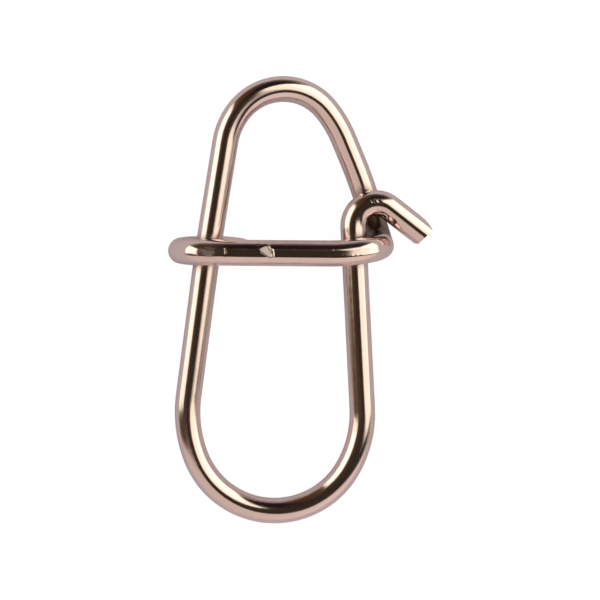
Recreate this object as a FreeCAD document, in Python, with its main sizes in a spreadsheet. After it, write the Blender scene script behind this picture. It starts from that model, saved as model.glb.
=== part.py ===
import FreeCAD, Part
import math
import os

# Lure snap: one length of round spring wire bent into a long bow and a top loop, closed by
# a cross bar. The wire starts at a cut tip, bends over as a hook, runs down the right leg,
# round the bow, up the left leg, round the top loop and down behind the hook. There it turns
# forward round the right leg as a heel, crosses to the left as the bar, wraps round the left
# leg and ends in a short tail behind the bar. The hook's crook hangs over the heel: lifting it
# off springs the snap open.
#
# The wire is drawn in the plane of the bow, u to the right, v towards the top loop and w to
# the front. u is 0 half way between the legs and v is 0 at the bar. At the end the finished
# wire is laid down on three feet, with its origin under the middle of its box.

Vector = FreeCAD.Vector
FRONT = Vector(0, 0, 1)

# Driving dimensions, in millimetres and degrees: alias, value, what it measures
SIZES = [
    ("wire_diameter", 1.2, "round spring wire"),
    ("pass_clearance", 0.04, "gap where the wire passes itself"),
    ("hook_clearance", 0.2, "gap between the hook and the leg behind it"),
    ("leg_spacing", 6.8, "between the legs' centre lines, at the bar"),
    ("right_leg_lean", 3.0, "lower right leg, outward from upright"),
    ("left_leg_lean", 7.65, "lower left leg, outward from upright"),
    ("lower_leg_length", 8.94, "right leg, from the bar to the bow's first bend"),
    ("bow_right_turn", 32.8, "bow's bend next to the right leg"),
    ("bow_left_turn", 29.2, "bow's bend next to the left leg"),
    ("leg_set_radius", 19.0, "faint bend of the left leg inside the wrap"),
    ("upper_leg_lean", 9.3, "upper left leg, inward from upright"),
    ("upper_leg_length", 5.88, "left leg, from the bar to the top loop's first bend"),
    ("top_taper", 32.5, "angle between the top loop's two legs"),
    ("top_left_turn", 29.0, "top loop's bend next to the left leg"),
    ("top_right_turn", 16.1, "top loop's bend next to the right leg"),
    ("behind_length", 3.0, "upper right leg, from its faint bend down to the heel"),
    ("behind_turn", 5.8, "faint bend of the upper right leg, behind the hook"),
    ("behind_radius", 23.7, "radius of that faint bend"),
    ("heel_back_height", 0.25, "heel's rear corner above the bar's line"),
    ("heel_front_height", 0.16, "heel's front corner above the bar's line"),
    ("bar_end_slope", 6.0, "bar's two ends, sloping back from its middle"),
    ("heel_knee_distance", 1.9, "from the heel to the bar's faint bend next to it"),
    ("heel_knee_drop", 0.05, "that bend below the bar's line"),
    ("wrap_knee_distance", 2.1, "from the wrap to the bar's faint bend next to it"),
    ("knee_length", 1.1, "length of each faint bend of the bar"),
    ("tail_drop", 0.03, "tail below the wrap's front"),
    ("tail_length", 2.12, "from the wrap to the tail's bend"),
    ("tail_end_length", 0.85, "from the tail's bend to its cut end"),
    ("tail_end_turn", 9.0, "downward bend at the tail's end"),
    ("hook_leg_length", 1.35, "right leg, from the bar up to the hook's first bend"),
    ("hook_first_turn", 30.5, "hook's bend next to the leg"),
    ("hook_turn", 131.0, "whole turn of the hook"),
    ("hook_inner_radius", 0.44, "inside of the hook's crook"),
    ("tip_length", 2.6, "from the hook's last bend to the end of the tip's lip"),
    ("tip_step_length", 0.23, "how far the lip stands out past the sheared face"),
    ("lip_height", 0.47, "depth of the lip, from the wire's outer side"),
    ("lip_roll_length", 0.48, "bevel rolled on the lip's outer edge, along the wire"),
    ("lip_roll_turn", 66.0, "slope of that bevel's face, outward from the wire's line"),
    ("nick_distance", 5.56, "from the heel to the nick's shallow end, along the bar"),
    ("nick_width", 0.52, "nick, along the bar"),
    ("nick_depth", 0.085, "nick's deep end, into the bar's face"),
    ("nick_roll", 19.0, "nick's place, turned up from the middle of the bar's face"),
]

# Bends of equal step between the two end bends of each loop, and after the hook's first bend
LOOP_MIDDLE_BENDS = 3
HOOK_MIDDLE_BENDS = 3
# Points of the path nearer than this are one point
CLOSE = 1e-6
# Points looked at on each edge of a foot, and rounds in which the feet settle
FOOT_POINTS = 60
FOOT_ROUNDS = 12


def turned(direction, axis, degrees):
    """A direction turned about an axis by the right-hand rule."""
    return FreeCAD.Rotation(axis, degrees).multVec(direction)


def leaning(degrees, upward):
    """A unit direction in the bow's plane, leaning to the right of upright or of straight down."""
    lean = math.radians(degrees)
    rise = math.cos(lean) if upward else -math.cos(lean)
    return Vector(math.sin(lean), rise, 0)


def bend_radius(step, degrees):
    """Radius of a bend whose tangent points are the middles of two steps."""
    return step / 2 / math.tan(math.radians(degrees) / 2)


def loop_bends(start, direction, first_length, far_leg, spread, first_turn, last_turn):
    """Bends that lead from a leg round a loop of equal steps onto a second leg.

    start and far_leg are points on the two legs, direction leads away from start, and spread
    is the angle by which the loop turns more than half a circle. The length of a step is the
    one that closes the loop, so each bend starts where the last one ends.
    """
    axis = direction.cross(far_leg - start).normalize()
    middle_turn = (180 + spread - first_turn - last_turn) / LOOP_MIDDLE_BENDS
    turns = [first_turn] + [middle_turn] * LOOP_MIDDLE_BENDS + [last_turn]
    headings = []
    heading = 0
    for turn in turns[:-1]:
        heading += turn
        headings.append(turned(direction, axis, heading))
    reach = Vector()
    for unit in headings:
        reach += unit
    far_direction = turned(direction, axis, spread)
    corner = start + direction * first_length
    step = (far_leg - corner).cross(far_direction).dot(axis) / reach.cross(far_direction).dot(axis)
    bends = [(corner, bend_radius(step, turns[0]))]
    for unit, turn in zip(headings, turns[1:]):
        corner = corner + unit * step
        bends.append((corner, bend_radius(step, turn)))
    return bends


def hook_bends(start, direction, first_turn, whole_turn, radius):
    """Bends of the hook from the leg to the tip, and the tip's direction."""
    middle_turn = (whole_turn - first_turn) / HOOK_MIDDLE_BENDS
    step = 2 * radius * math.tan(math.radians(middle_turn) / 2)
    bends = [(start, bend_radius(step, first_turn))]
    corner = start
    heading = first_turn
    for _ in range(HOOK_MIDDLE_BENDS):
        corner = corner + turned(direction, FRONT, -heading) * step
        bends.append((corner, radius))
        heading += middle_turn
    return bends, turned(direction, FRONT, -whole_turn)


def u_turn(first, second, before, after, widest):
    """Two bends that take the wire from one side of a leg to the other, as round as they fit."""
    across = second - first
    first_turn = math.degrees((first - before).getAngle(across))
    second_turn = math.degrees(across.getAngle(after - second))
    return [(first, min(widest, bend_radius(across.Length, first_turn))),
            (second, min(widest, bend_radius(across.Length, second_turn)))]


def bent_path(start, stretches, end):
    """The path's edges for each named stretch of bends, straight between bends and an arc at each."""
    bends = [(name, corner, radius) for name, group in stretches.items() for corner, radius in group]
    following = [corner for _, corner, _ in bends[1:]] + [end]
    edges = {name: [] for name in stretches}
    here = start
    for (name, corner, radius), target in zip(bends, following):
        arriving = (corner - here).normalize()
        leaving = (target - corner).normalize()
        turn = arriving.getAngle(leaving)
        setback = radius * math.tan(turn / 2)
        arc_start = corner - arriving * setback
        if (arc_start - here).dot(arriving) > CLOSE:
            edges[name].append(Part.LineSegment(here, arc_start).toShape())
        else:
            arc_start = here
        inward = (leaving - arriving).normalize()
        arc_middle = corner + inward * (radius / math.cos(turn / 2) - radius)
        arc_end = corner + leaving * setback
        edges[name].append(Part.Arc(arc_start, arc_middle, arc_end).toShape())
        here = arc_end
    edges[name].append(Part.LineSegment(here, end).toShape())
    return edges


def resting_rotation(feet):
    """The turn that lays the wire down on three feet, each a list of the path's edges."""
    up = FRONT
    samples = [[point for edge in foot for point in edge.discretize(Number=FOOT_POINTS)] for foot in feet]
    for _ in range(FOOT_ROUNDS):
        lowest = [min(points, key=lambda point: point.dot(up)) for points in samples]
        up = (lowest[1] - lowest[0]).cross(lowest[2] - lowest[0]).normalize()
        if up.z < 0:
            up = up * -1
    return FreeCAD.Rotation(up, FRONT)


def checked(document):
    """Stops if an object of the document failed or its shape is missing or not valid."""
    for item in document.Objects:
        if "Invalid" in item.State or "Error" in item.State:
            raise RuntimeError(item.Label + " did not build")
        if hasattr(item, "Shape") and (item.Shape.isNull() or not item.Shape.isValid()):
            raise RuntimeError(item.Label + " has no valid shape")


# The sheet of sizes
document = FreeCAD.newDocument("lure_snap")
sheet = document.addObject("Spreadsheet::Sheet", "Sizes")
for row, (alias, value, meaning) in enumerate(SIZES, start=1):
    sheet.set("A%d" % row, alias)
    sheet.set("B%d" % row, str(value))
    sheet.set("C%d" % row, meaning)
    sheet.setAlias("B%d" % row, alias)
document.recompute()


def size(alias):
    """The value in the sheet's cell of that name."""
    return float(sheet.get(alias))


# Where the wire passes itself
wire_radius = size("wire_diameter") / 2
one_pass = size("wire_diameter") + size("pass_clearance")
behind_hook = size("wire_diameter") + size("hook_clearance")
left_leg = Vector(-size("leg_spacing") / 2, 0, 0)
right_leg = Vector(size("leg_spacing") / 2, 0, 0)

# Hook and tip, from the right leg upward
hook_up = leaning(-size("right_leg_lean"), True)
hook_radius = size("hook_inner_radius") + wire_radius
hook, tip_direction = hook_bends(
    right_leg + hook_up * size("hook_leg_length"), hook_up,
    size("hook_first_turn"), size("hook_turn"), hook_radius)
tip_end = hook[-1][0] + tip_direction * size("tip_length")

# Bow, from the right leg down and round to the left leg
bow = loop_bends(
    right_leg, leaning(size("right_leg_lean"), False), size("lower_leg_length"), left_leg,
    size("right_leg_lean") + size("left_leg_lean"), size("bow_right_turn"), size("bow_left_turn"))

# Top loop, in a plane that leans back so that its right leg passes behind the hook
left_up = leaning(size("upper_leg_lean"), True)
heel_back = right_leg + Vector(one_pass, size("heel_back_height"), -behind_hook)
loop_axis = left_up.cross(heel_back - left_leg).normalize()
behind_up = turned(left_up, loop_axis, size("behind_turn") - size("top_taper"))
behind_bend = heel_back + behind_up * size("behind_length")
top = loop_bends(
    left_leg, left_up, size("upper_leg_length"), behind_bend,
    -size("top_taper"), size("top_left_turn"), size("top_right_turn"))

# Heel round the right leg, bar across the front, wrap round the left leg and tail. The bar is
# arched: its ends slope back to the heel and the wrap, and pass the legs at one pass's distance.
end_slope = math.radians(size("bar_end_slope"))
over_leg = one_pass / math.cos(end_slope)
end_rise = math.tan(end_slope)
corner_front = over_leg - one_pass * end_rise
heel_front = right_leg + Vector(one_pass, size("heel_front_height"), corner_front)
heel_knee = Vector(
    heel_front.x - size("heel_knee_distance"), -size("heel_knee_drop"),
    corner_front + size("heel_knee_distance") * end_rise)
wrap_front = left_leg + Vector(-one_pass, 0, corner_front)
wrap_knee = wrap_front + Vector(
    size("wrap_knee_distance"), 0, size("wrap_knee_distance") * end_rise)
wrap_back = left_leg + Vector(-one_pass, -size("tail_drop"), -one_pass)
tail_bend = wrap_back + Vector(size("tail_length"), 0, 0)
heel_knee_turn = math.degrees((heel_front - heel_knee).getAngle(heel_knee - wrap_knee))
wrap_knee_turn = math.degrees((heel_knee - wrap_knee).getAngle(wrap_knee - wrap_front))
bar = [
    (heel_knee, bend_radius(size("knee_length"), heel_knee_turn)),
    (wrap_knee, bend_radius(size("knee_length"), wrap_knee_turn))]
tail_direction = turned(Vector(1, 0, 0), FRONT, -size("tail_end_turn"))
tail_end = tail_bend + tail_direction * size("tail_end_length")
tail_radius = bend_radius(size("tail_end_length"), size("tail_end_turn"))
heel = u_turn(heel_back, heel_front, behind_bend, heel_knee, one_pass)
wrap = u_turn(wrap_front, wrap_back, wrap_knee, tail_bend, one_pass)

# The whole path, from the cut tip to the tail's end
stretches = {
    "hook": hook[::-1],
    "bow": bow,
    "left leg": [(left_leg, size("leg_set_radius"))],
    "top loop": top,
    "behind hook": [(behind_bend, size("behind_radius"))],
    "heel": heel,
    "bar": bar,
    "wrap": wrap,
    "tail": [(tail_bend, tail_radius)],
}
for name, bends in stretches.items():
    print(name + ", radii: " + ", ".join("%.2f" % radius for _, radius in bends))
path_edges = bent_path(tip_end, stretches, tail_end)
path = document.addObject("Part::Feature", "wire_path")
path.Label = "wire path"
path.Shape = Part.Wire([edge for edges in path_edges.values() for edge in edges])

# The round section at the tip, and the wire drawn along the path
section = document.addObject("Part::Circle", "wire_section")
section.Label = "wire section"
section.setExpression("Radius", "Sizes.wire_diameter / 2")
section.Placement = FreeCAD.Placement(tip_end, FreeCAD.Rotation(FRONT, tip_direction))
drawn = document.addObject("Part::Sweep", "drawn_wire")
drawn.Label = "drawn wire"
drawn.Sections = [section]
drawn.Spine = (path, ["Edge%d" % number for number in range(1, len(path.Shape.Edges) + 1)])
drawn.Solid = True
drawn.Frenet = False
drawn.Transition = "Transformed"


def cutting_box(name, length, width, height):
    """A box that cuts the wire, its three sizes bound to the sheet."""
    box = document.addObject("Part::Box", name)
    box.Label = name.replace("_", " ")
    box.setExpression("Length", length)
    box.setExpression("Width", width)
    box.setExpression("Height", height)
    return box


# Sheared tip: the lower part of the cut face stands back, and the lip's outer edge is rolled.
# In the tip's own frame, x runs along the tip and y towards the outside of the hook.
tip_frame = FreeCAD.Placement(tip_end, FreeCAD.Rotation(Vector(1, 0, 0), tip_direction))
shear = cutting_box(
    "shear_step", "Sizes.wire_diameter", "Sizes.wire_diameter * 2", "Sizes.wire_diameter * 2")
shear_corner = Vector(-size("tip_step_length"), -3 * wire_radius - size("lip_height"), -2 * wire_radius)
shear.Placement = tip_frame * FreeCAD.Placement(shear_corner, FreeCAD.Rotation())
roll = cutting_box(
    "lip_roll", "Sizes.wire_diameter", "Sizes.wire_diameter * 2", "Sizes.wire_diameter * 2")
roll_line = FreeCAD.Placement(
    Vector(-size("lip_roll_length"), wire_radius, -2 * wire_radius),
    FreeCAD.Rotation(FRONT, size("lip_roll_turn")))
roll_start = FreeCAD.Placement(Vector(0, -2 * wire_radius, 0), FreeCAD.Rotation())
roll.Placement = tip_frame * roll_line * roll_start

# Nick in the bar's face: a floor that dips towards the heel and ends at a small wall
nick = cutting_box(
    "bar_nick", "Sizes.nick_width", "Sizes.wire_diameter", "Sizes.wire_diameter")
nick_front = wrap_knee.z + (heel_knee.z - wrap_knee.z) * (
    heel_front.x - size("nick_distance") - wrap_knee.x) / (heel_knee.x - wrap_knee.x)
nick_place = FreeCAD.Placement(
    Vector(heel_front.x - size("nick_distance"), 0, nick_front),
    FreeCAD.Rotation(Vector(1, 0, 0), -size("nick_roll")))
nick_dip = math.degrees(math.atan(size("nick_depth") / size("nick_width")))
nick_floor = FreeCAD.Placement(
    Vector(0, -wire_radius, wire_radius), FreeCAD.Rotation(Vector(0, 1, 0), nick_dip))
nick.Placement = nick_place * nick_floor

cuts = document.addObject("Part::MultiFuse", "cuts")
cuts.Shapes = [shear, roll, nick]
snap = document.addObject("Part::Cut", "snap_wire")
snap.Label = "snap_wire"
snap.Base = drawn
snap.Tool = cuts
document.recompute()
checked(document)
print("drawn wire's volume over section times length: %.5f" % (
    drawn.Shape.Volume / (math.pi * wire_radius ** 2 * path.Shape.Length)))

# Laid down on the bow, the wrap or tail, and the heel or the leg above it
rest = resting_rotation([
    path_edges["bow"],
    path_edges["wrap"] + path_edges["tail"],
    path_edges["behind hook"] + path_edges["heel"]])
snap.Placement = FreeCAD.Placement(Vector(), rest)
document.recompute()
box = snap.Shape.optimalBoundingBox()
middle = Vector((box.XMin + box.XMax) / 2, (box.YMin + box.YMax) / 2, box.ZMin)
snap.Placement = FreeCAD.Placement(middle * -1, rest)
document.recompute()
checked(document)
print("box: %.3f x %.3f x %.3f" % (box.XLength, box.YLength, box.ZLength))

os.makedirs("parts", exist_ok=True)
snap.Shape.exportStep(os.path.join("parts", snap.Label + ".step"))
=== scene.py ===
import math

import bpy
import numpy as np
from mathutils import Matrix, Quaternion, Vector


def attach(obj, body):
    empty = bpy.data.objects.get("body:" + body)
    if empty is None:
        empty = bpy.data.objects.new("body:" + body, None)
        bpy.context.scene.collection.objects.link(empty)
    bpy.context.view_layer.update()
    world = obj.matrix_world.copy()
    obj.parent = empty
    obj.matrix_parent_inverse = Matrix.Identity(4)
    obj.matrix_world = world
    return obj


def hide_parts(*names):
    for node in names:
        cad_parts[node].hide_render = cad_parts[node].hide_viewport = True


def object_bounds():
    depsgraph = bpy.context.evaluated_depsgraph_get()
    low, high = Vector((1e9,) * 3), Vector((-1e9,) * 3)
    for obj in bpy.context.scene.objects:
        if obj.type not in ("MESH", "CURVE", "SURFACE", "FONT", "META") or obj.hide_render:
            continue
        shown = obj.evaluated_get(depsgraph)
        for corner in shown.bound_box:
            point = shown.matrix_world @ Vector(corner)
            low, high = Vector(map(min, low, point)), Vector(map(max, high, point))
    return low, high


# Lure snap: one length of drawn spring wire, plated and bent into a long bow and a top loop. A
# cross bar closes it, and the cut tip is bent over as a hook that hangs on the bar's heel. The
# snap lies on a pale table under two soft boxes, and the camera looks straight down.
#
# The wire is bent in the plane of the bow, in millimetres: u to the right, v towards the top
# loop and w to the front, with u 0 half way between the legs and v 0 at the bar. Then it is laid
# down on its three feet, in the frame's metres.

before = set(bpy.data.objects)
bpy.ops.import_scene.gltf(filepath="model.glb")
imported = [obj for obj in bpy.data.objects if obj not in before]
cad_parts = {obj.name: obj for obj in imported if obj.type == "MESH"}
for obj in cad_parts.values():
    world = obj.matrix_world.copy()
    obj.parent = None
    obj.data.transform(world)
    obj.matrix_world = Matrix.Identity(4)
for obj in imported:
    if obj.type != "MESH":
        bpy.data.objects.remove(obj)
cad_low, cad_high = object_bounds()

MM = 0.001
FRONT = Vector((0, 0, 1))

# Sizes are in millimetres and turns in degrees, except where a comment says otherwise

# The wire, and the gaps where it passes itself
WIRE_DIAMETER = 1.2
WIRE_RADIUS = WIRE_DIAMETER / 2
PASS_CLEARANCE = 0.04
HOOK_CLEARANCE = 0.2
# Legs and bow
LEG_SPACING = 6.8
RIGHT_LEG_LEAN = 3.0
LEFT_LEG_LEAN = 7.65
LOWER_LEG_LENGTH = 8.94
BOW_RIGHT_TURN = 32.8
BOW_LEFT_TURN = 29.2
LEG_SET_RADIUS = 19.0
# Top loop, and the leg behind the hook
UPPER_LEG_LEAN = 9.3
UPPER_LEG_LENGTH = 5.88
TOP_TAPER = 32.5
TOP_LEFT_TURN = 29.0
TOP_RIGHT_TURN = 16.1
BEHIND_LENGTH = 3.0
BEHIND_TURN = 5.8
BEHIND_RADIUS = 23.7
# Heel, bar, wrap and tail
HEEL_BACK_HEIGHT = 0.25
HEEL_FRONT_HEIGHT = 0.16
BAR_END_SLOPE = 6.0
HEEL_KNEE_DISTANCE = 1.9
HEEL_KNEE_DROP = 0.05
WRAP_KNEE_DISTANCE = 2.1
KNEE_LENGTH = 1.1
TAIL_DROP = 0.03
TAIL_LENGTH = 2.12
TAIL_END_LENGTH = 0.85
TAIL_END_TURN = 9.0
# Hook and tip
HOOK_LEG_LENGTH = 1.35
HOOK_FIRST_TURN = 30.5
HOOK_TURN = 131.0
HOOK_INNER_RADIUS = 0.44
TIP_LENGTH = 2.6
# Bends of equal step between the end bends of a loop, and after the hook's first bend
LOOP_MIDDLE_BENDS = 3
HOOK_MIDDLE_BENDS = 3

# Rounds in which the three feet settle on the table
FOOT_ROUNDS = 12

# The mesh: points round the wire, the most degrees of bend between two rings of points, and the
# distance between rings, finer where the tools left marks. A straight run shorter than a tenth of
# that distance gets no ring of its own.
SIDES = 90
RING_TURN = 2.5
RING_STEP = 0.13
FINE_RING_STEP = {"hook": 0.04, "heel": 0.06, "bar": 0.025, "wrap": 0.06}
SHORT_RUN = 0.1
# Faces that meet at more degrees than this have a sharp edge between them
SHARP_EDGE = 35

# Photograph: the camera looks straight down from CAMERA_HEIGHT above the table. At the height of
# the resting wire's middle it sees a square FRAME_WIDTH wide, round FRAME_MIDDLE.
CAMERA_HEIGHT = 117.6
FRAME_HEIGHT = WIRE_RADIUS
FRAME_WIDTH = 28.125
FRAME_MIDDLE = (-0.047, 0.057)
SENSOR_WIDTH = 36.0


def colour(code):
    """An sRGB hex colour, as Blender's linear red, green, blue and alpha."""
    parts = [int(code[place:place + 2], 16) / 255 for place in (1, 3, 5)]
    return tuple(part / 12.92 if part <= 0.04045 else ((part + 0.055) / 1.055) ** 2.4
                 for part in parts) + (1.0,)


def add_node(tree, kind, settings=None, inputs=None):
    """Adds a node, sets its settings, and gives each named or numbered input a value or a link."""
    node = tree.nodes.new(kind)
    for name, value in (settings or {}).items():
        setattr(node, name, value)
    for name, value in (inputs or {}).items():
        if isinstance(value, bpy.types.NodeSocket):
            tree.links.new(value, node.inputs[name])
        else:
            node.inputs[name].default_value = value
    return node


# The wire's route


def turned(direction, axis, degrees):
    """A direction turned about an axis by the right-hand rule."""
    return Quaternion(axis, math.radians(degrees)) @ direction


def leaning(degrees, upward):
    """A unit direction in the bow's plane, leaning to the right of upright or of straight down."""
    lean = math.radians(degrees)
    return Vector((math.sin(lean), math.cos(lean) if upward else -math.cos(lean), 0))


def bend_radius(step, degrees):
    """Radius of a bend whose tangent points are the middles of two steps."""
    return step / 2 / math.tan(math.radians(degrees) / 2)


def loop_bends(start, direction, first_length, far_leg, spread, first_turn, last_turn):
    """Bends that lead from a leg round a loop of equal steps onto a second leg."""
    axis = direction.cross(far_leg - start).normalized()
    middle_turn = (180 + spread - first_turn - last_turn) / LOOP_MIDDLE_BENDS
    turns = [first_turn] + [middle_turn] * LOOP_MIDDLE_BENDS + [last_turn]
    headings = [turned(direction, axis, sum(turns[:count])) for count in range(1, len(turns))]
    reach = sum(headings, Vector((0, 0, 0)))
    far_direction = turned(direction, axis, spread)
    corner = start + direction * first_length
    step = (far_leg - corner).cross(far_direction).dot(axis) / reach.cross(far_direction).dot(axis)
    bends = [(corner, bend_radius(step, turns[0]))]
    for heading, turn in zip(headings, turns[1:]):
        corner = corner + heading * step
        bends.append((corner, bend_radius(step, turn)))
    return bends


def hook_bends(start, direction):
    """Bends of the hook from the leg to the tip, and the tip's direction."""
    radius = HOOK_INNER_RADIUS + WIRE_RADIUS
    middle_turn = (HOOK_TURN - HOOK_FIRST_TURN) / HOOK_MIDDLE_BENDS
    step = 2 * radius * math.tan(math.radians(middle_turn) / 2)
    bends = [(start, bend_radius(step, HOOK_FIRST_TURN))]
    corner = start
    for count in range(HOOK_MIDDLE_BENDS):
        corner = corner + turned(direction, FRONT, -HOOK_FIRST_TURN - middle_turn * count) * step
        bends.append((corner, radius))
    return bends, turned(direction, FRONT, -HOOK_TURN)


def u_turn(first, second, before, after, widest):
    """Two bends that take the wire from one side of a leg to the other, as round as they fit."""
    across = second - first
    first_turn = math.degrees((first - before).angle(across))
    second_turn = math.degrees(across.angle(after - second))
    return [(first, min(widest, bend_radius(across.length, first_turn))),
            (second, min(widest, bend_radius(across.length, second_turn)))]


def bent_path(start, stretches, end):
    """Points along each named stretch, with an arc at each bend and straight runs between them."""
    bends = [(name, *bend) for name, group in stretches.items() for bend in group]
    following = [corner for _, corner, _ in bends[1:]] + [end]
    points = {name: [] for name in stretches}
    here = start
    for (name, corner, radius), target in zip(bends, following):
        ring_step = FINE_RING_STEP.get(name, RING_STEP)
        arriving = (corner - here).normalized()
        leaving = (target - corner).normalized()
        turn = arriving.angle(leaving)
        setback = radius * math.tan(turn / 2)
        arc_start = corner - arriving * setback
        run = max(1, math.ceil((arc_start - here).dot(arriving) / ring_step))
        points[name] += [here.lerp(arc_start, count / run) for count in range(run)
                         if (arc_start - here).length > ring_step * SHORT_RUN]
        axis = arriving.cross(leaving).normalized()
        inward = axis.cross(arriving)
        centre = arc_start + inward * radius
        arc = max(2, math.ceil(max(math.degrees(turn) / RING_TURN, turn * radius / ring_step)))
        points[name] += [centre + turned(-inward, axis, math.degrees(turn) * count / arc) * radius
                         for count in range(arc)]
        here = corner + leaving * setback
    run = math.ceil((end - here).length / RING_STEP)
    points[name] += [here.lerp(end, count / run) for count in range(run + 1)]
    return points


# Where the wire passes itself
one_pass = WIRE_DIAMETER + PASS_CLEARANCE
left_leg = Vector((-LEG_SPACING / 2, 0, 0))
right_leg = Vector((LEG_SPACING / 2, 0, 0))

# Hook and bow, from the right leg up and down
hook_up = leaning(-RIGHT_LEG_LEAN, True)
hook, tip_direction = hook_bends(right_leg + hook_up * HOOK_LEG_LENGTH, hook_up)
tip_end = hook[-1][0] + tip_direction * TIP_LENGTH
bow = loop_bends(right_leg, leaning(RIGHT_LEG_LEAN, False), LOWER_LEG_LENGTH, left_leg,
                 RIGHT_LEG_LEAN + LEFT_LEG_LEAN, BOW_RIGHT_TURN, BOW_LEFT_TURN)

# Top loop, in a plane that leans back so that its right leg passes behind the hook
left_up = leaning(UPPER_LEG_LEAN, True)
heel_back = right_leg + Vector((one_pass, HEEL_BACK_HEIGHT, -WIRE_DIAMETER - HOOK_CLEARANCE))
loop_axis = left_up.cross(heel_back - left_leg).normalized()
behind_bend = heel_back + turned(left_up, loop_axis, BEHIND_TURN - TOP_TAPER) * BEHIND_LENGTH
top = loop_bends(left_leg, left_up, UPPER_LEG_LENGTH, behind_bend,
                 -TOP_TAPER, TOP_LEFT_TURN, TOP_RIGHT_TURN)

# Heel round the right leg, bar across the front, wrap round the left leg and tail. The bar is
# arched: its ends slope back to the heel and the wrap, and pass the legs at one pass's distance.
end_rise = math.tan(math.radians(BAR_END_SLOPE))
corner_front = one_pass / math.cos(math.radians(BAR_END_SLOPE)) - one_pass * end_rise
heel_front = right_leg + Vector((one_pass, HEEL_FRONT_HEIGHT, corner_front))
heel_knee = Vector((heel_front.x - HEEL_KNEE_DISTANCE, -HEEL_KNEE_DROP,
                    corner_front + HEEL_KNEE_DISTANCE * end_rise))
wrap_front = left_leg + Vector((-one_pass, 0, corner_front))
wrap_knee = wrap_front + Vector((WRAP_KNEE_DISTANCE, 0, WRAP_KNEE_DISTANCE * end_rise))
wrap_back = left_leg + Vector((-one_pass, -TAIL_DROP, -one_pass))
tail_bend = wrap_back + Vector((TAIL_LENGTH, 0, 0))
tail_direction = leaning(90 + TAIL_END_TURN, True)
tail_end = tail_bend + tail_direction * TAIL_END_LENGTH
heel_knee_turn = math.degrees((heel_front - heel_knee).angle(heel_knee - wrap_knee))
wrap_knee_turn = math.degrees((heel_knee - wrap_knee).angle(wrap_knee - wrap_front))
route = bent_path(tip_end, {
    "hook": hook[::-1],
    "bow": bow,
    "left leg": [(left_leg, LEG_SET_RADIUS)],
    "top loop": top,
    "behind hook": [(behind_bend, BEHIND_RADIUS)],
    "heel": u_turn(heel_back, heel_front, behind_bend, heel_knee, one_pass),
    "bar": [(heel_knee, bend_radius(KNEE_LENGTH, heel_knee_turn)),
            (wrap_knee, bend_radius(KNEE_LENGTH, wrap_knee_turn))],
    "wrap": u_turn(wrap_front, wrap_back, wrap_knee, tail_bend, one_pass),
    "tail": [(tail_bend, bend_radius(TAIL_END_LENGTH, TAIL_END_TURN))],
}, tail_end)


def resting_rotation(feet):
    """The turn that lays the wire down on three feet, each a list of the route's points."""
    up = FRONT
    for _ in range(FOOT_ROUNDS):
        lowest = [min(points, key=lambda point: point.dot(up)) for points in feet]
        up = (lowest[1] - lowest[0]).cross(lowest[2] - lowest[0]).normalized()
        if up.z < 0:
            up = -up
    return up.rotation_difference(FRONT)


# Laid down on the bow, the wrap or tail, and the heel or the leg above it
rest = resting_rotation([route["bow"], route["wrap"] + route["tail"],
                         route["behind hook"] + route["heel"]])
turned_route = [rest @ point for points in route.values() for point in points]
wire_low = Vector(min(point[axis] for point in turned_route) - WIRE_RADIUS for axis in range(3))
shift = cad_low / MM - wire_low


def laid(point):
    """A point of the bow's plane, in the frame's metres."""
    return (rest @ point + shift) * MM


# The wire's mesh


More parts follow.
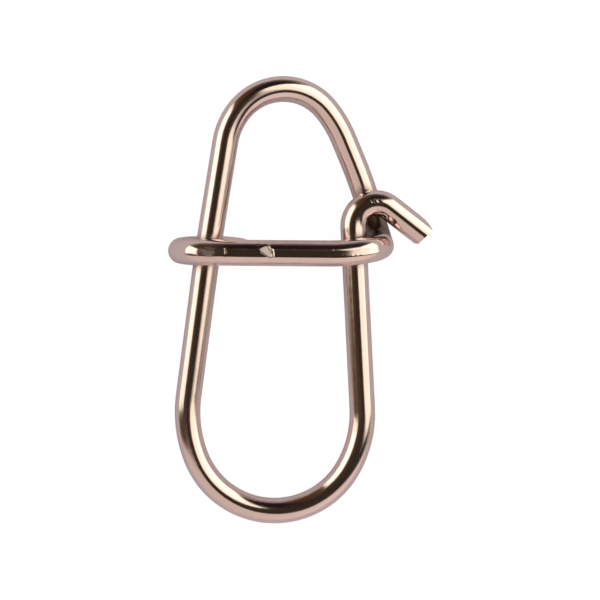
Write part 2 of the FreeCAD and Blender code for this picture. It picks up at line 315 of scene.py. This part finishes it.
def drawn_wire_tree():
    """Geometry Nodes that draw a round wire along a route of points.

    Each point of the surface keeps its place on the wire as it was drawn, before the bends, in
    the attribute straight_wire: along the wire, and across it, in metres.
    """
    tree = bpy.data.node_groups.new("drawn wire", "GeometryNodeTree")
    face = tree.interface
    face.new_socket("Route", in_out="INPUT", socket_type="NodeSocketGeometry")
    for name, kind in (("Wire Diameter", "Float"), ("Sides", "Int"), ("Plating", "Material")):
        face.new_socket(name, in_out="INPUT", socket_type="NodeSocket" + kind)
    face.new_socket("Wire", in_out="OUTPUT", socket_type="NodeSocketGeometry")
    given = add_node(tree, "NodeGroupInput")
    path = add_node(tree, "GeometryNodeMeshToCurve", inputs={"Mesh": given.outputs["Route"]})
    length = add_node(tree, "GeometryNodeSplineParameter")
    path = add_node(tree, "GeometryNodeStoreNamedAttribute", inputs={
        "Geometry": path.outputs[0], "Name": "along", "Value": length.outputs["Length"]})
    radius = add_node(tree, "ShaderNodeMath", {"operation": "DIVIDE"},
                      {0: given.outputs["Wire Diameter"], 1: 2.0})
    section = add_node(tree, "GeometryNodeCurvePrimitiveCircle", {"mode": "RADIUS"}, {
        "Resolution": given.outputs["Sides"], "Radius": radius.outputs[0]})
    place = add_node(tree, "GeometryNodeInputPosition")
    section = add_node(tree, "GeometryNodeStoreNamedAttribute", {"data_type": "FLOAT_VECTOR"}, {
        "Geometry": section.outputs["Curve"], "Name": "across", "Value": place.outputs[0]})
    wire = add_node(tree, "GeometryNodeCurveToMesh", inputs={
        "Curve": path.outputs[0], "Profile Curve": section.outputs[0]})
    along = add_node(tree, "GeometryNodeInputNamedAttribute", {"data_type": "FLOAT"}, {"Name": "along"})
    across = add_node(
        tree, "GeometryNodeInputNamedAttribute", {"data_type": "FLOAT_VECTOR"}, {"Name": "across"})
    split = add_node(tree, "ShaderNodeSeparateXYZ", inputs={0: across.outputs[0]})
    joined = add_node(tree, "ShaderNodeCombineXYZ", inputs={
        0: along.outputs[0], 1: split.outputs[0], 2: split.outputs[1]})
    wire = add_node(tree, "GeometryNodeStoreNamedAttribute", {"data_type": "FLOAT_VECTOR"}, {
        "Geometry": wire.outputs[0], "Name": "straight_wire", "Value": joined.outputs[0]})
    for name in ("along", "across"):
        wire = add_node(tree, "GeometryNodeRemoveAttribute", inputs={
            "Geometry": wire.outputs[0], "Name": name})
    wire = add_node(tree, "GeometryNodeRealizeInstances", inputs={"Geometry": wire.outputs[0]})
    wire = add_node(tree, "GeometryNodeSetMaterial", inputs={
        "Geometry": wire.outputs[0], "Material": given.outputs["Plating"]})
    add_node(tree, "NodeGroupOutput", inputs={"Wire": wire.outputs[0]})
    return tree


def drawn_wire(name, points, plating):
    """The round wire along the points, as a plain mesh object with open ends."""
    chain = bpy.data.meshes.new(name + "_route")
    chain.from_pydata(points, [(count, count + 1) for count in range(len(points) - 1)], [])
    piece = bpy.data.objects.new(name, chain)
    bpy.context.scene.collection.objects.link(piece)
    modifier = piece.modifiers.new("drawn wire", "NODES")
    modifier.node_group = drawn_wire_tree()
    values = {"Wire Diameter": WIRE_DIAMETER * MM, "Sides": SIDES, "Plating": plating}
    for item in modifier.node_group.interface.items_tree:
        if item.name in values:
            modifier[item.identifier] = values[item.name]
    shown = piece.evaluated_get(bpy.context.evaluated_depsgraph_get())
    mesh = bpy.data.meshes.new_from_object(shown)
    piece.modifiers.clear()
    piece.data = mesh
    bpy.data.meshes.remove(chain)
    return piece


def smooth_step(value, low, high):
    """0 below low, 1 above high, and smooth between them."""
    share = np.clip((value - low) / (high - low), 0, 1)
    return share * share * (3 - 2 * share)


# Cut tip, in millimetres. Below the step's height lies the sheared face, which leans and stops
# TIP_STEP short of the lip above it. The lip's outer edge is rolled over, and so is the face's far
# corner, from a share of the wire's radius out.
TIP_STEP = 0.19
SHEAR_LEAN = 0.12
STEP_HEIGHT = 0.12
STEP_WIDTH = 0.03
LIP_ROLL_HEIGHT = 0.34
LIP_ROLL_LENGTH = 1.0
CORNER_ROLL = 0.12
CORNER_ROLL_START = 0.8
# Cut end of the tail: how far its edge is drawn back, and the share of the radius where that starts
TAIL_EDGE = 0.06
TAIL_EDGE_START = 0.75
# A cut moves the wire's rings as far back as this, and no more of them than this
SHEAR_REACH = 1.5
SHEAR_RINGS = 40
# Rings that close a cut end
CAP_RINGS = 24


def sheared_tip(height, depth):
    """How far the cut tip stands past the path's end at a height on it, the same at any depth."""
    lower = (-TIP_STEP + SHEAR_LEAN * np.minimum(height, 0)
             - CORNER_ROLL * smooth_step(-height, WIRE_RADIUS * CORNER_ROLL_START, WIRE_RADIUS))
    rolled = np.clip(1 + (height - WIRE_RADIUS) / LIP_ROLL_HEIGHT, 0, 1)
    lip = LIP_ROLL_LENGTH * (np.sqrt(1 - rolled ** 2) - 1)
    share = smooth_step(height, STEP_HEIGHT - STEP_WIDTH, STEP_HEIGHT + STEP_WIDTH)
    return lower * (1 - share) + lip * share


def plain_cut(height, depth):
    """How far the tail's cut end stands past the path's end: flat, and rounded at its edge."""
    reach = np.sqrt(height ** 2 + depth ** 2) / WIRE_RADIUS
    return -TAIL_EDGE * smooth_step(reach, TAIL_EDGE_START, 1.0)


class CutEnd:
    """A cut end: where the path ends, which way the end faces, the axis of its height and its
    profile, which gives how far it stands out at a height and a depth."""

    def __init__(self, place, direction, height_axis, profile, at_start):
        self.place = np.array(place)
        self.direction = np.array(direction)
        self.height_axis = np.array(height_axis)
        self.depth_axis = np.cross(self.direction, self.height_axis)
        self.profile = profile
        self.at_start = at_start

    def across(self, points):
        """Height and depth of each point on the cut."""
        off = points - self.place
        return off @ self.height_axis, off @ self.depth_axis


class WireSurface:
    """The drawn wire's points, ring by ring, with each ring's centre on the route."""

    def __init__(self, piece):
        self.piece = piece
        mesh = piece.data
        self.points = np.empty(len(mesh.vertices) * 3)
        mesh.vertices.foreach_get("co", self.points)
        self.points = self.points.reshape(-1, SIDES, 3) / MM
        self.centres = self.points.mean(1, keepdims=True)
        self.outward = (self.points - self.centres) / WIRE_RADIUS
        straight = np.empty(self.points.size)
        mesh.attributes["straight_wire"].data.foreach_get("vector", straight)
        self.straight = straight.reshape(-1, SIDES, 3) / MM

    def shear(self, end):
        """Moves the rings near a cut end along the wire, so that they meet its profile."""
        ahead = (self.points - end.place) @ end.direction
        share = np.clip(1 + ahead / SHEAR_REACH, 0, 1)
        count = np.arange(len(self.points))
        from_end = count if end.at_start else count[::-1]
        share = share * (from_end < SHEAR_RINGS)[:, None]
        stand = end.profile(*end.across(self.points))
        self.points = self.points + (share * stand)[..., None] * end.direction

    def local(self, point, along, face):
        """Each point's place from a mark's middle, as if the wire were still straight: how far
        ahead along it, and the angle round it from its face."""
        point, along, face = (np.array(item) for item in (point, along, face))
        ring = np.linalg.norm(self.centres[:, 0] - point, axis=1).argmin()
        angle = np.arctan2(self.straight[:, :, 2], self.straight[:, :, 1])
        # first and second point outward at angle 0 and at a quarter turn, where the mark is
        first = 2 * (self.outward[ring] * np.cos(angle[ring])[:, None]).mean(0)
        second = 2 * (self.outward[ring] * np.sin(angle[ring])[:, None]).mean(0)
        face_angle = np.arctan2(face @ second, face @ first)
        quarter = second * np.cos(face_angle) - first * np.sin(face_angle)
        forward = np.sign((self.centres[ring + 1, 0] - self.centres[ring, 0]) @ along)
        ahead = ((self.straight[:, :, 0] - self.straight[ring, 0, 0]) * forward
                 + (self.centres[ring, 0] - point) @ along)
        round_wire = (angle - face_angle + np.pi) % (2 * np.pi) - np.pi
        return ahead, round_wire * np.sign(np.cross(face, along) @ quarter)

    def over(self, x, y):
        """Each point's place on the straight wire, from the uppermost point over x, y of the
        frame: how far along the wire, and how far round it."""
        apart = np.hypot(self.points[..., 0] - x, self.points[..., 1] - y)
        ring, side = np.unravel_index(
            np.where(apart < POINT_REACH, self.points[..., 2], -1).argmax(), apart.shape)
        angle = np.arctan2(self.straight[..., 2], self.straight[..., 1])
        turn = (angle - angle[ring, side] + np.pi) % (2 * np.pi) - np.pi
        return self.straight[..., 0] - self.straight[ring, side, 0], turn * WIRE_RADIUS

    def gap(self):
        """How far each point is from the wire's other passes."""
        along = self.straight[:, 0, 0]
        middles = self.centres[:, 0]
        gaps = np.empty(self.points.shape[:2])
        for ring, points in enumerate(self.points):
            others = middles[np.abs(along - along[ring]) > PASS_LENGTH]
            apart = np.linalg.norm(points[:, None] - others[None], axis=2)
            gaps[ring] = apart.min(1) - WIRE_RADIUS
        return gaps

    def press(self, depth):
        """Presses the surface in by a depth at each point."""
        self.points = self.points - self.outward * depth[..., None]


def close_end(surface, end, points, straight, faces):
    """Closes a cut end with rings of new points and faces that follow its profile."""
    rim_ring = 0 if end.at_start else len(surface.points) - 1
    rim_straight = surface.straight[rim_ring]
    middle = rim_straight.mean(0)
    height, depth = end.across(surface.points[rim_ring])
    outer = [rim_ring * SIDES + side for side in range(SIDES)]
    for count in range(1, CAP_RINGS + 1):
        # The last ring is one point in the middle
        share = math.cos(math.pi / 2 * count / (CAP_RINGS + 1)) if count < CAP_RINGS else 0
        sides = SIDES if share else 1
        high, deep = height[:sides] * share, depth[:sides] * share
        place = (end.place + high[:, None] * end.height_axis + deep[:, None] * end.depth_axis
                 + end.profile(high, deep)[:, None] * end.direction)
        inner = [len(points) + side for side in range(sides)]
        points += [tuple(point * MM) for point in place]
        straight += [tuple(point * MM) for point in middle + (rim_straight[:sides] - middle) * share]
        for side in range(SIDES):
            after = (side + 1) % SIDES
            face = [outer[after], outer[side], inner[side % sides], inner[after % sides]]
            face = face if share else face[:3]
            faces.append(tuple(face if end.at_start else face[::-1]))
        outer = inner


def finish_mesh(surface, ends, point_values):
    """Writes the shaped rings back and closes each cut end.

    The named values for the points of the rings: tool wear and painted crevice shade, where 0 is
    none. The cut ends get 0.
    """
    piece = surface.piece
    points = [tuple(point) for point in surface.points.reshape(-1, 3) * MM]
    straight = [tuple(point) for point in surface.straight.reshape(-1, 3) * MM]
    faces = [(ring * SIDES + side, ring * SIDES + (side + 1) % SIDES,
              (ring + 1) * SIDES + (side + 1) % SIDES, (ring + 1) * SIDES + side)
             for ring in range(len(surface.points) - 1) for side in range(SIDES)]
    for end in ends:
        close_end(surface, end, points, straight, faces)
    mesh = bpy.data.meshes.new(piece.name)
    mesh.from_pydata(points, [], faces)
    mesh.attributes.new("straight_wire", "FLOAT_VECTOR", "POINT")
    mesh.attributes["straight_wire"].data.foreach_set("vector", np.array(straight).ravel())
    for name, values in point_values.items():
        mesh.attributes.new(name, "FLOAT", "POINT")
        closed = np.zeros(len(points))
        closed[:values.size] = values.ravel()
        mesh.attributes[name].data.foreach_set("value", closed)
    mesh.polygons.foreach_set("use_smooth", [True] * len(mesh.polygons))
    mesh.set_sharp_from_angle(angle=math.radians(SHARP_EDGE))
    mesh.materials.append(piece.data.materials[0])
    piece.data = mesh
    mesh.validate()
    mesh.update()


# Marks that the tools left on the wire, in millimetres and degrees. On the bar, ahead is measured
# to the right from the middle between its knees, and an angle upward from its face.

# The bar's face is pressed flat, FLAT_HEIGHT from the wire's axis and turned up by FLAT_ROLL. Its
# ends are pushed back, on a slope towards the heel and on a curve towards the wrap. A fine ripple
# lies in the lower half of the face near the heel. It starts and ends between two places along the
# bar, and fades out upward between two angles in radians.
FLAT_HEIGHT = 0.577
FLAT_ROLL = 2.0
FLAT_START = -4.3
FLAT_END = 5.0
FLAT_FADE = 0.9
HEEL_SLOPE_START = 2.5
HEEL_SLOPE = 0.083
HEEL_EASE = 0.6
WRAP_CURVE_START = -2.55
WRAP_CURVE = 0.042
PUSH_END = 5.4
PUSH_FADE = 1.0
RIPPLE_DEPTH = 0.0025
RIPPLE_LENGTH = 0.24
RIPPLE_START = (2.9, 3.2)
RIPPLE_END = (4.2, 4.6)
RIPPLE_TOP = (-0.35, 0.05)
# The nick: a facet struck by a tool's corner. It is turned up by NICK_ROLL, starts NICK_HEIGHT from
# the wire's axis, and comes NICK_SLOPE nearer on each millimetre to the right. It ends at a steep
# wall, which bows to the left above, and at a raised rim that fades out below and above. Fine
# slanting lines run over the facet.
NICK_LEFT = -1.085
NICK_HEIGHT = 0.595
NICK_ROLL = 13.2
NICK_SLOPE = 0.145
NICK_RIGHT = -0.475
NICK_BOW = 1.3
NICK_WALL = 0.05
NICK_RIM = 0.02
NICK_RIM_WIDTH = 0.035
NICK_RIM_BOTTOM = (-0.26, -0.12)
NICK_RIM_TOP = (0.36, 0.46)
NICK_LINE_DEPTH = 0.0016
NICK_LINE_STEP = 0.105
NICK_LINE_SLANT = 0.15
# Dents in the bar: ahead, angle, half length, half width and depth
DENTS = [
    (-2.62, 8.0, 0.045, 0.19, 0.022), (-1.18, 41.0, 0.05, 0.05, 0.012),
    (-0.79, -20.0, 0.04, 0.04, 0.014), (-0.30, -4.0, 0.03, 0.03, 0.006),
    (-1.68, 36.0, 0.03, 0.03, 0.008), (-1.73, 11.5, 0.12, 0.02, 0.003),
    (2.20, -4.0, 0.35, 0.02, 0.003), (2.31, 18.0, 0.03, 0.03, 0.006),
    (2.70, 0.0, 0.03, 0.03, 0.006)]
# Rubbed places: x and y in the frame, half length along the wire, half width round it, depth,
# how much grain the tool left, and how worn it is, where 1 is bare steel and more is rougher. The
# two with x below -3.5 make up the worn patch at the bar's left end.
RUBBED = [
    (3.50, 4.66, 0.30, 0.13, 0.006, 1.3, 0.25), (3.52, 4.18, 0.10, 0.05, 0.012, 0.2, 0.2),
    (4.24, 3.66, 0.26, 0.15, 0.030, 0.0, 0.1), (2.70, 2.94, 0.08, 0.10, 0.015, 0.4, 0.3),
    (-4.33, 2.30, 0.44, 0.36, 0.0015, 0.25, 2.0), (-3.80, 2.42, 0.45, 0.32, 0.0, 0.05, 0.6),
    (2.76, 4.11, 0.30, 0.04, 0.010, 0.2, 0.2), (2.90, 4.42, 0.26, 0.05, 0.012, 0.4, 0.4),
    (3.09, 4.66, 0.22, 0.04, 0.008, 0.4, 0.3), (2.67, 3.76, 0.30, 0.03, 0.006, 0.1, 0.1)]
# How softly a rubbed place fades out, and how much wider its worn part is than its dent
RUB_FADE = 1.5
RUB_SPREAD = 1.7
# Depth of the grain, and the streaks of wear along the wire: their length in rings and contrast
GRAIN = 0.020
GRAIN_SEED = 7
STREAK_RINGS = 8
STREAK_CONTRAST = 2.0
# How near a point of the surface has to be to a place in the frame to lie over it
POINT_REACH = 0.07
# Painted shade inside the hook's crook, seen from the front: how far it reaches from the crook's axis,
# the share of that where it is shaded all over, and where it ends in front of the wire's middle
CROOK_REACH = 1.2
CROOK_CORE = 0.6
CROOK_FRONT = (-0.15, 0.25)
# Least cosine at which a plane is taken to cut the wire. Past it the plane misses the wire.
LEAST_COSINE = 0.2
# Gap to the next pass below which shade is painted into the plating's colour and it is made
# rougher, and the least wire between two passes
CREVICE_SHADE_GAP = 0.6
PASS_LENGTH = 2.2


def planed(angle, roll, height):
    """How deep a plane cuts into the round wire: its normal's angle, and its distance from the
    wire's axis."""
    leaning_away = np.maximum(np.cos(angle - math.radians(roll)), LEAST_COSINE)
    return WIRE_RADIUS - height / leaning_away


def bar_face(ahead, angle):
    """Depth of the flat along the bar's face, with its ends pushed back and the fine ripple."""
    share = (smooth_step(ahead, FLAT_START, FLAT_START + FLAT_FADE)
             * (1 - smooth_step(ahead, FLAT_END - FLAT_FADE, FLAT_END)))
    flat = share * np.maximum(planed(angle, FLAT_ROLL, FLAT_HEIGHT), 0)
    past_heel_start = np.maximum(ahead - HEEL_SLOPE_START, 0)
    push = (HEEL_SLOPE * (np.hypot(past_heel_start, HEEL_EASE) - HEEL_EASE)
            + WRAP_CURVE * np.maximum(WRAP_CURVE_START - ahead, 0) ** 2)
    push = push * (1 - smooth_step(np.abs(ahead), PUSH_END - PUSH_FADE, PUSH_END))
    push += (RIPPLE_DEPTH * np.sin(2 * np.pi * ahead / RIPPLE_LENGTH)
             * smooth_step(ahead, *RIPPLE_START) * (1 - smooth_step(ahead, *RIPPLE_END))
             * (1 - smooth_step(angle, *RIPPLE_TOP)))
    return flat + push * np.maximum(np.cos(angle), 0)


def nick(ahead, angle):
    """Depth of the nick's facet, how far its rim stands out, and where the tool struck."""
    height = NICK_HEIGHT - NICK_SLOPE * (ahead - NICK_LEFT)
    facet = planed(angle, NICK_ROLL, height)
    above = WIRE_RADIUS * np.sin(angle)
    right = NICK_RIGHT - NICK_BOW * np.maximum(above, 0) ** 2
    wall = smooth_step(ahead, right - NICK_WALL * 2, right - NICK_WALL)
    share = (ahead > NICK_LEFT) * (1 - wall)
    struck = share * (facet > 0)
    lines = NICK_LINE_DEPTH * np.sin(2 * np.pi * (ahead + NICK_LINE_SLANT * above) / NICK_LINE_STEP)
    rim = NICK_RIM * np.exp(-((ahead - right) / NICK_RIM_WIDTH) ** 2)
    rim = rim * smooth_step(above, *NICK_RIM_BOTTOM) * (1 - smooth_step(above, *NICK_RIM_TOP))
    return share * np.maximum(facet + lines, 0), rim, struck


def dents(ahead, angle):
    """Depth of the small dents and scratches along the bar."""
    depth = np.zeros_like(ahead)
    for middle, turn, length, width, deep in DENTS:
        off = (angle - math.radians(turn)) * WIRE_RADIUS
        depth += deep * np.exp(-((ahead - middle) / length) ** 2 - (off / width) ** 2)
    return depth


def rubbed_places(surface):
    """Depth of the rubbed places with their grain, and how worn they are."""
    depth = np.zeros(surface.points.shape[:2])
    point_values = np.zeros(surface.points.shape[:2])
    noise = np.random.default_rng(GRAIN_SEED).random(depth.shape)
    streaks = sum(np.roll(noise, shift, axis=0) for shift in range(STREAK_RINGS)) / STREAK_RINGS
    streaks = np.clip(0.5 + STREAK_CONTRAST * (streaks - 0.5), 0, 1)
    for x, y, length, width, deep, grain, worn in RUBBED:
        along, off = surface.over(x, y)
        share = np.maximum(1 - (along / length) ** 2 - (off / width) ** 2, 0) ** RUB_FADE
        depth += share * (deep + GRAIN * grain * noise)
        point_values = np.maximum(point_values, worn * np.minimum(share * RUB_SPREAD, 1) * streaks)
    return depth, point_values


def crook_inside(surface):
    """1 inside the crook and behind the middle of its wire, where little light comes in."""
    # This is the mask of the shade painted into the plating's colour inside the crook
    inward = (hook[1][0] - hook[2][0]).normalized() + (hook[3][0] - hook[2][0]).normalized()
    middle = hook[2][0] + inward.normalized() * (HOOK_INNER_RADIUS + WIRE_RADIUS)
    off = surface.points - np.array(laid(middle) / MM)
    front = np.array(rest @ FRONT)
    depth = off @ front
    across = np.linalg.norm(off - depth[..., None] * front, axis=2)
    return ((1 - smooth_step(across, CROOK_REACH * CROOK_CORE, CROOK_REACH))
            * (1 - smooth_step(depth, *CROOK_FRONT)))


def plated_spring_wire():
    """Drawn spring steel, polished and plated a warm bronze nickel: a clean mirror, pink in the
    half light and cream under the lamps, with faint drawing lines and a soft ripple."""
    material = bpy.data.materials.new("plated spring wire")
    material.use_nodes = True
    tree = material.node_tree
    shader = tree.nodes["Principled BSDF"]
    place = add_node(tree, "ShaderNodeAttribute", {"attribute_name": "straight_wire"})
    # Drawing lines run along the wire: 12 mm long and 0.06 mm apart. Real ones are finer.
    lines = add_node(tree, "ShaderNodeMapping", inputs={
        "Vector": place.outputs["Vector"], "Scale": (1 / (12 * MM), 1 / (0.06 * MM), 1 / (0.06 * MM))})
    lines = add_node(tree, "ShaderNodeTexNoise", inputs={
        "Vector": lines.outputs[0], "Scale": 1.0, "Detail": 3.0, "Roughness": 0.6})
    # The plating is not quite even: soft waves 0.9 mm long under it, and patches of tint 1.7 mm wide
    ripple = add_node(tree, "ShaderNodeTexNoise", inputs={
        "Vector": place.outputs["Vector"], "Scale": 1 / (0.9 * MM), "Detail": 2.0})
    bump = add_node(tree, "ShaderNodeBump", inputs={
        "Strength": 1.0, "Distance": 0.004 * MM, "Height": ripple.outputs["Fac"]})
    bump = add_node(tree, "ShaderNodeBump", inputs={
        "Strength": 1.0, "Distance": 0.0004 * MM, "Height": lines.outputs["Fac"],
        "Normal": bump.outputs[0]})
    tree.links.new(bump.outputs[0], shader.inputs["Normal"])
    tint = add_node(tree, "ShaderNodeTexNoise", inputs={
        "Vector": place.outputs["Vector"], "Scale": 1 / (1.7 * MM), "Detail": 3.0})
    tint = add_node(tree, "ShaderNodeMix", {"data_type": "RGBA"}, {
        0: tint.outputs["Fac"], 6: colour("#EDD6CE"), 7: colour("#E6D0CC")})
    # Painted shade: where the wire passes close to itself and inside the hook's crook, the colour
    #     is darkened to brown
    painted_shade = add_node(tree, "ShaderNodeAttribute", {"attribute_name": "crevice_shade"})
    tint = add_node(tree, "ShaderNodeMix", {"data_type": "RGBA"}, {
        0: painted_shade.outputs["Fac"], 6: tint.outputs[2], 7: colour("#867268")})
    # Where a tool rubbed it through, the grey steel shows
    marked = add_node(tree, "ShaderNodeAttribute", {"attribute_name": "tool_marks"})
    tint = add_node(tree, "ShaderNodeMix", {"data_type": "RGBA"}, {
        0: marked.outputs["Fac"], 6: tint.outputs[2], 7: colour("#C9BBB8")})
    tree.links.new(tint.outputs[2], shader.inputs["Base Color"])
    # Polished: roughness 0.10 to 0.17 with the drawing lines, and 0.25 more where it is worn or
    #     under the painted shade where it passes itself
    rough = add_node(tree, "ShaderNodeMapRange", inputs={
        0: lines.outputs["Fac"], 1: 0.3, 2: 0.7, 3: 0.10, 4: 0.17})
    worn = add_node(tree, "ShaderNodeMath", {"operation": "MAXIMUM"}, {
        0: painted_shade.outputs["Fac"], 1: marked.outputs["Fac"]})
    rough = add_node(tree, "ShaderNodeMath", {"operation": "MULTIPLY_ADD"}, {
        0: worn.outputs[0], 1: 0.25, 2: rough.outputs[0]})
    tree.links.new(rough.outputs[0], shader.inputs["Roughness"])
    shader.inputs["Metallic"].default_value = 1.0
    return material


def make_snap():
    """The snap's one wire, with its cut ends and tool marks, in place of the CAD wire."""
    points = [laid(point) for group in route.values() for point in group]
    piece = drawn_wire("snap_wire_plated", points, plated_spring_wire())
    surface = WireSurface(piece)

    def in_frame(direction):
        return rest @ direction

    tip_out = turned(tip_direction, FRONT, 90)
    ends = [
        CutEnd(laid(tip_end) / MM, in_frame(tip_direction), in_frame(tip_out), sheared_tip, True),
        CutEnd(laid(tail_end) / MM, in_frame(tail_direction), in_frame(FRONT), plain_cut, False)]
    bar_middle = heel_knee.lerp(wrap_knee, 0.5)
    ahead, angle = surface.local(laid(bar_middle) / MM, in_frame(Vector((1, 0, 0))), in_frame(FRONT))
    cut, rim, struck = nick(ahead, angle)
    rubs, rubbed = rubbed_places(surface)
    surface.press(np.maximum(bar_face(ahead, angle), cut) - rim + dents(ahead, angle) + rubs)
    # Painted shade where the wire passes close to itself and inside the hook's crook
    crevice_shade = np.maximum(1 - smooth_step(surface.gap(), 0, CREVICE_SHADE_GAP), crook_inside(surface))
    point_values = {"tool_marks": np.maximum(struck, rubbed), "crevice_shade": crevice_shade}
    for end in ends:
        surface.shear(end)
    finish_mesh(surface, ends, point_values)
    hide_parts("snap_wire")
    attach(piece, "root")


# Studio

# Brightness of what the wire mirrors, where 1 is a white wall in plain light
DARK_ROOM = 0.014
CEILING = 0.032
LEFT_ROOM = 0.075
LOW_WALLS = 0.15
SIDE_WALLS = 0.38
BOW_WALL = 0.70
BOW_WALL_RIGHT = 0.84
SOFT_BOX = 1.34
LAMP = 1.65
TABLE = 0.62
# A soft box's lamp stands this far inside the box's edges, and its own edge is this soft
LAMP_INSET = 0.1
LAMP_SOFTNESS = 0.08
# Half the table's side in millimetres. The camera sees its paper with this share of a white glow.
TABLE_REACH = 400
PAPER_GLOW = 1.3
PAPER_GLOW_SHARE = 0.7


def studio_light():
    """The room that lights the snap and that the wire mirrors, as directions round the snap.

    Each lamp or wall fills the directions that are on the right side of a few planes near the
    snap. A plane is written as its normal, how far it stands off and how soft its edge is. x is
    to the photograph's right, y to its top and z to the camera.
    """
    world = bpy.data.worlds.new("studio")
    bpy.context.scene.world = world
    world.use_nodes = True
    tree = world.node_tree
    tree.nodes.clear()
    direction = add_node(tree, "ShaderNodeTexCoord").outputs["Generated"]

    def region(*planes):
        """How much a direction lies inside all of the planes."""
        share = None
        for normal, offset, soft in planes:
            side = add_node(tree, "ShaderNodeVectorMath", {"operation": "DOT_PRODUCT"},
                            {0: direction, 1: normal})
            side = add_node(tree, "ShaderNodeMapRange", {"interpolation_type": "SMOOTHSTEP"},
                            {0: side.outputs["Value"], 1: offset - soft, 2: offset + soft})
            share = side.outputs[0] if share is None else add_node(
                tree, "ShaderNodeMath", {"operation": "MULTIPLY"},
                {0: share, 1: side.outputs[0]}).outputs[0]
        return share

    def painted(below, share, tone, level):
        """The light so far, with a tone at a level laid over it where share is 1."""
        red, green, blue, _ = colour(tone)
        return add_node(tree, "ShaderNodeMix", {"data_type": "RGBA"}, {
            0: share, 6: below, 7: (red * level, green * level, blue * level, 1)}).outputs[2]

    # The dark room: its ceiling, its left side, and what stands low all round
    dark = add_node(tree, "ShaderNodeRGB")
    dark.outputs[0].default_value = tuple(part * DARK_ROOM for part in colour("#FFCCF4")[:3]) + (1,)
    light = dark.outputs[0]
    light = painted(light, region(((0, 0, 1), 0.86, 0.08)), "#FFDDB6", CEILING)
    light = painted(light, region(((-1, 0, -0.35), 0, 0.15)), "#FFC484", LEFT_ROOM)
    light = painted(light, region(((0, 0, -1), -0.28, 0.12)), "#FFE2DC", LOW_WALLS)
    # Low pale walls to the right and the left, up to their heights
    for side, height in ((1, 0.30), (-1, 0.15)):
        light = painted(light, region(((side, 0, 0), 0.45, 0.2), ((0, 0, -1), -height, 0.06)),
                        "#FFFBE2", SIDE_WALLS)
    # The pale wall beyond the bow, its further reach to the left, and its brighter right part
    wall = [((0.354, -1, -0.29), 0, 0.06), ((0, 0, 1), 0, 0.05), ((-0.403, -1, -0.62), 0, 0.08)]
    light = painted(light, region(*wall), "#FFF0E7", BOW_WALL)
    light = painted(light, region(*wall[:2], ((-1.2, -1, -0.50), 0, 0.06)), "#FFF0E7", BOW_WALL)
    light = painted(light, region(*wall, ((1, 0, 0), 0.1, 0.35)), "#FFF0E7", BOW_WALL_RIGHT)
    # Two soft boxes, each with its lamp glowing through the cloth at the box's outer end
    right_box = [((1, 0.5, -0.30), 0, 0.06), ((0.43, 1, 0.08), 0, 0.08), ((1.3, -1, 0.30), 0, 0.04),
                 ((0, 2.1, 1), -0.134, 0.12), ((0, 0, 1), 0.10, 0.04)]
    left_box = [((-1, 0, -0.78), 0, 0.08), ((0.121, 1, 0), -0.266, 0.016), ((-1.0, -1, -0.18), 0, 0.04),
                ((0, 2.1, 1), -0.134, 0.12), ((0, 0, 1), 0.08, 0.04)]
    for box, hottest in ((right_box, ((1, 1, 0), 0.8, 0.15)), (left_box, ((-1, 0, 0), 0.55, 0.15))):
        light = painted(light, region(*box), "#FFFBE8", SOFT_BOX)
        lamp = [(normal, offset + LAMP_INSET, LAMP_SOFTNESS) for normal, offset, _ in box]
        light = painted(light, region(*lamp, hottest), "#FFFFF8", LAMP)
    # The table, and the white ground that only the camera sees
    light = painted(light, region(((0, 0, -1), 0, 0.02)), "#FFEEE5", TABLE)
    path = add_node(tree, "ShaderNodeLightPath")
    seen = painted(light, path.outputs["Is Camera Ray"], "#FFFFFF", 1.0)
    background = add_node(tree, "ShaderNodeBackground", inputs={"Color": seen})
    add_node(tree, "ShaderNodeOutputWorld", inputs={"Surface": background.outputs[0]})


def white_paper():
    """Matt white paper. The camera sees it almost white, with the snap's faint shadow."""
    material = bpy.data.materials.new("white paper")
    material.use_nodes = True
    tree = material.node_tree
    tree.nodes.clear()
    paper = add_node(tree, "ShaderNodeBsdfDiffuse", inputs={"Color": colour("#F1F0FF")})
    glow = add_node(tree, "ShaderNodeEmission", inputs={
        "Color": colour("#FFFFFF"), "Strength": PAPER_GLOW})
    path = add_node(tree, "ShaderNodeLightPath")
    share = add_node(tree, "ShaderNodeMath", {"operation": "MULTIPLY"},
                     {0: path.outputs["Is Camera Ray"], 1: PAPER_GLOW_SHARE})
    mixed = add_node(tree, "ShaderNodeMixShader", inputs={
        0: share.outputs[0], 1: paper.outputs[0], 2: glow.outputs[0]})
    add_node(tree, "ShaderNodeOutputMaterial", inputs={"Surface": mixed.outputs[0]})
    return material


def table():
    """The flat table that the snap lies on."""
    reach = TABLE_REACH * MM
    mesh = bpy.data.meshes.new("table")
    mesh.from_pydata([(-reach, -reach, 0), (reach, -reach, 0), (reach, reach, 0), (-reach, reach, 0)],
                     [], [(0, 1, 2, 3)])
    floor = bpy.data.objects.new("table", mesh)
    bpy.context.scene.collection.objects.link(floor)
    mesh.materials.append(white_paper())


def camera():
    """The photograph's view, straight down."""
    data = bpy.data.cameras.new("camera")
    data.sensor_width = SENSOR_WIDTH
    data.lens = SENSOR_WIDTH * (CAMERA_HEIGHT - FRAME_HEIGHT) / FRAME_WIDTH
    data.clip_start = 1 * MM
    data.clip_end = 2000 * MM
    view = bpy.data.objects.new("camera", data)
    view.location = (FRAME_MIDDLE[0] * MM, FRAME_MIDDLE[1] * MM, CAMERA_HEIGHT * MM)
    bpy.context.scene.collection.objects.link(view)
    bpy.context.scene.camera = view


make_snap()
studio_light()
table()
camera()
bpy.context.scene.view_settings.view_transform = "Standard"
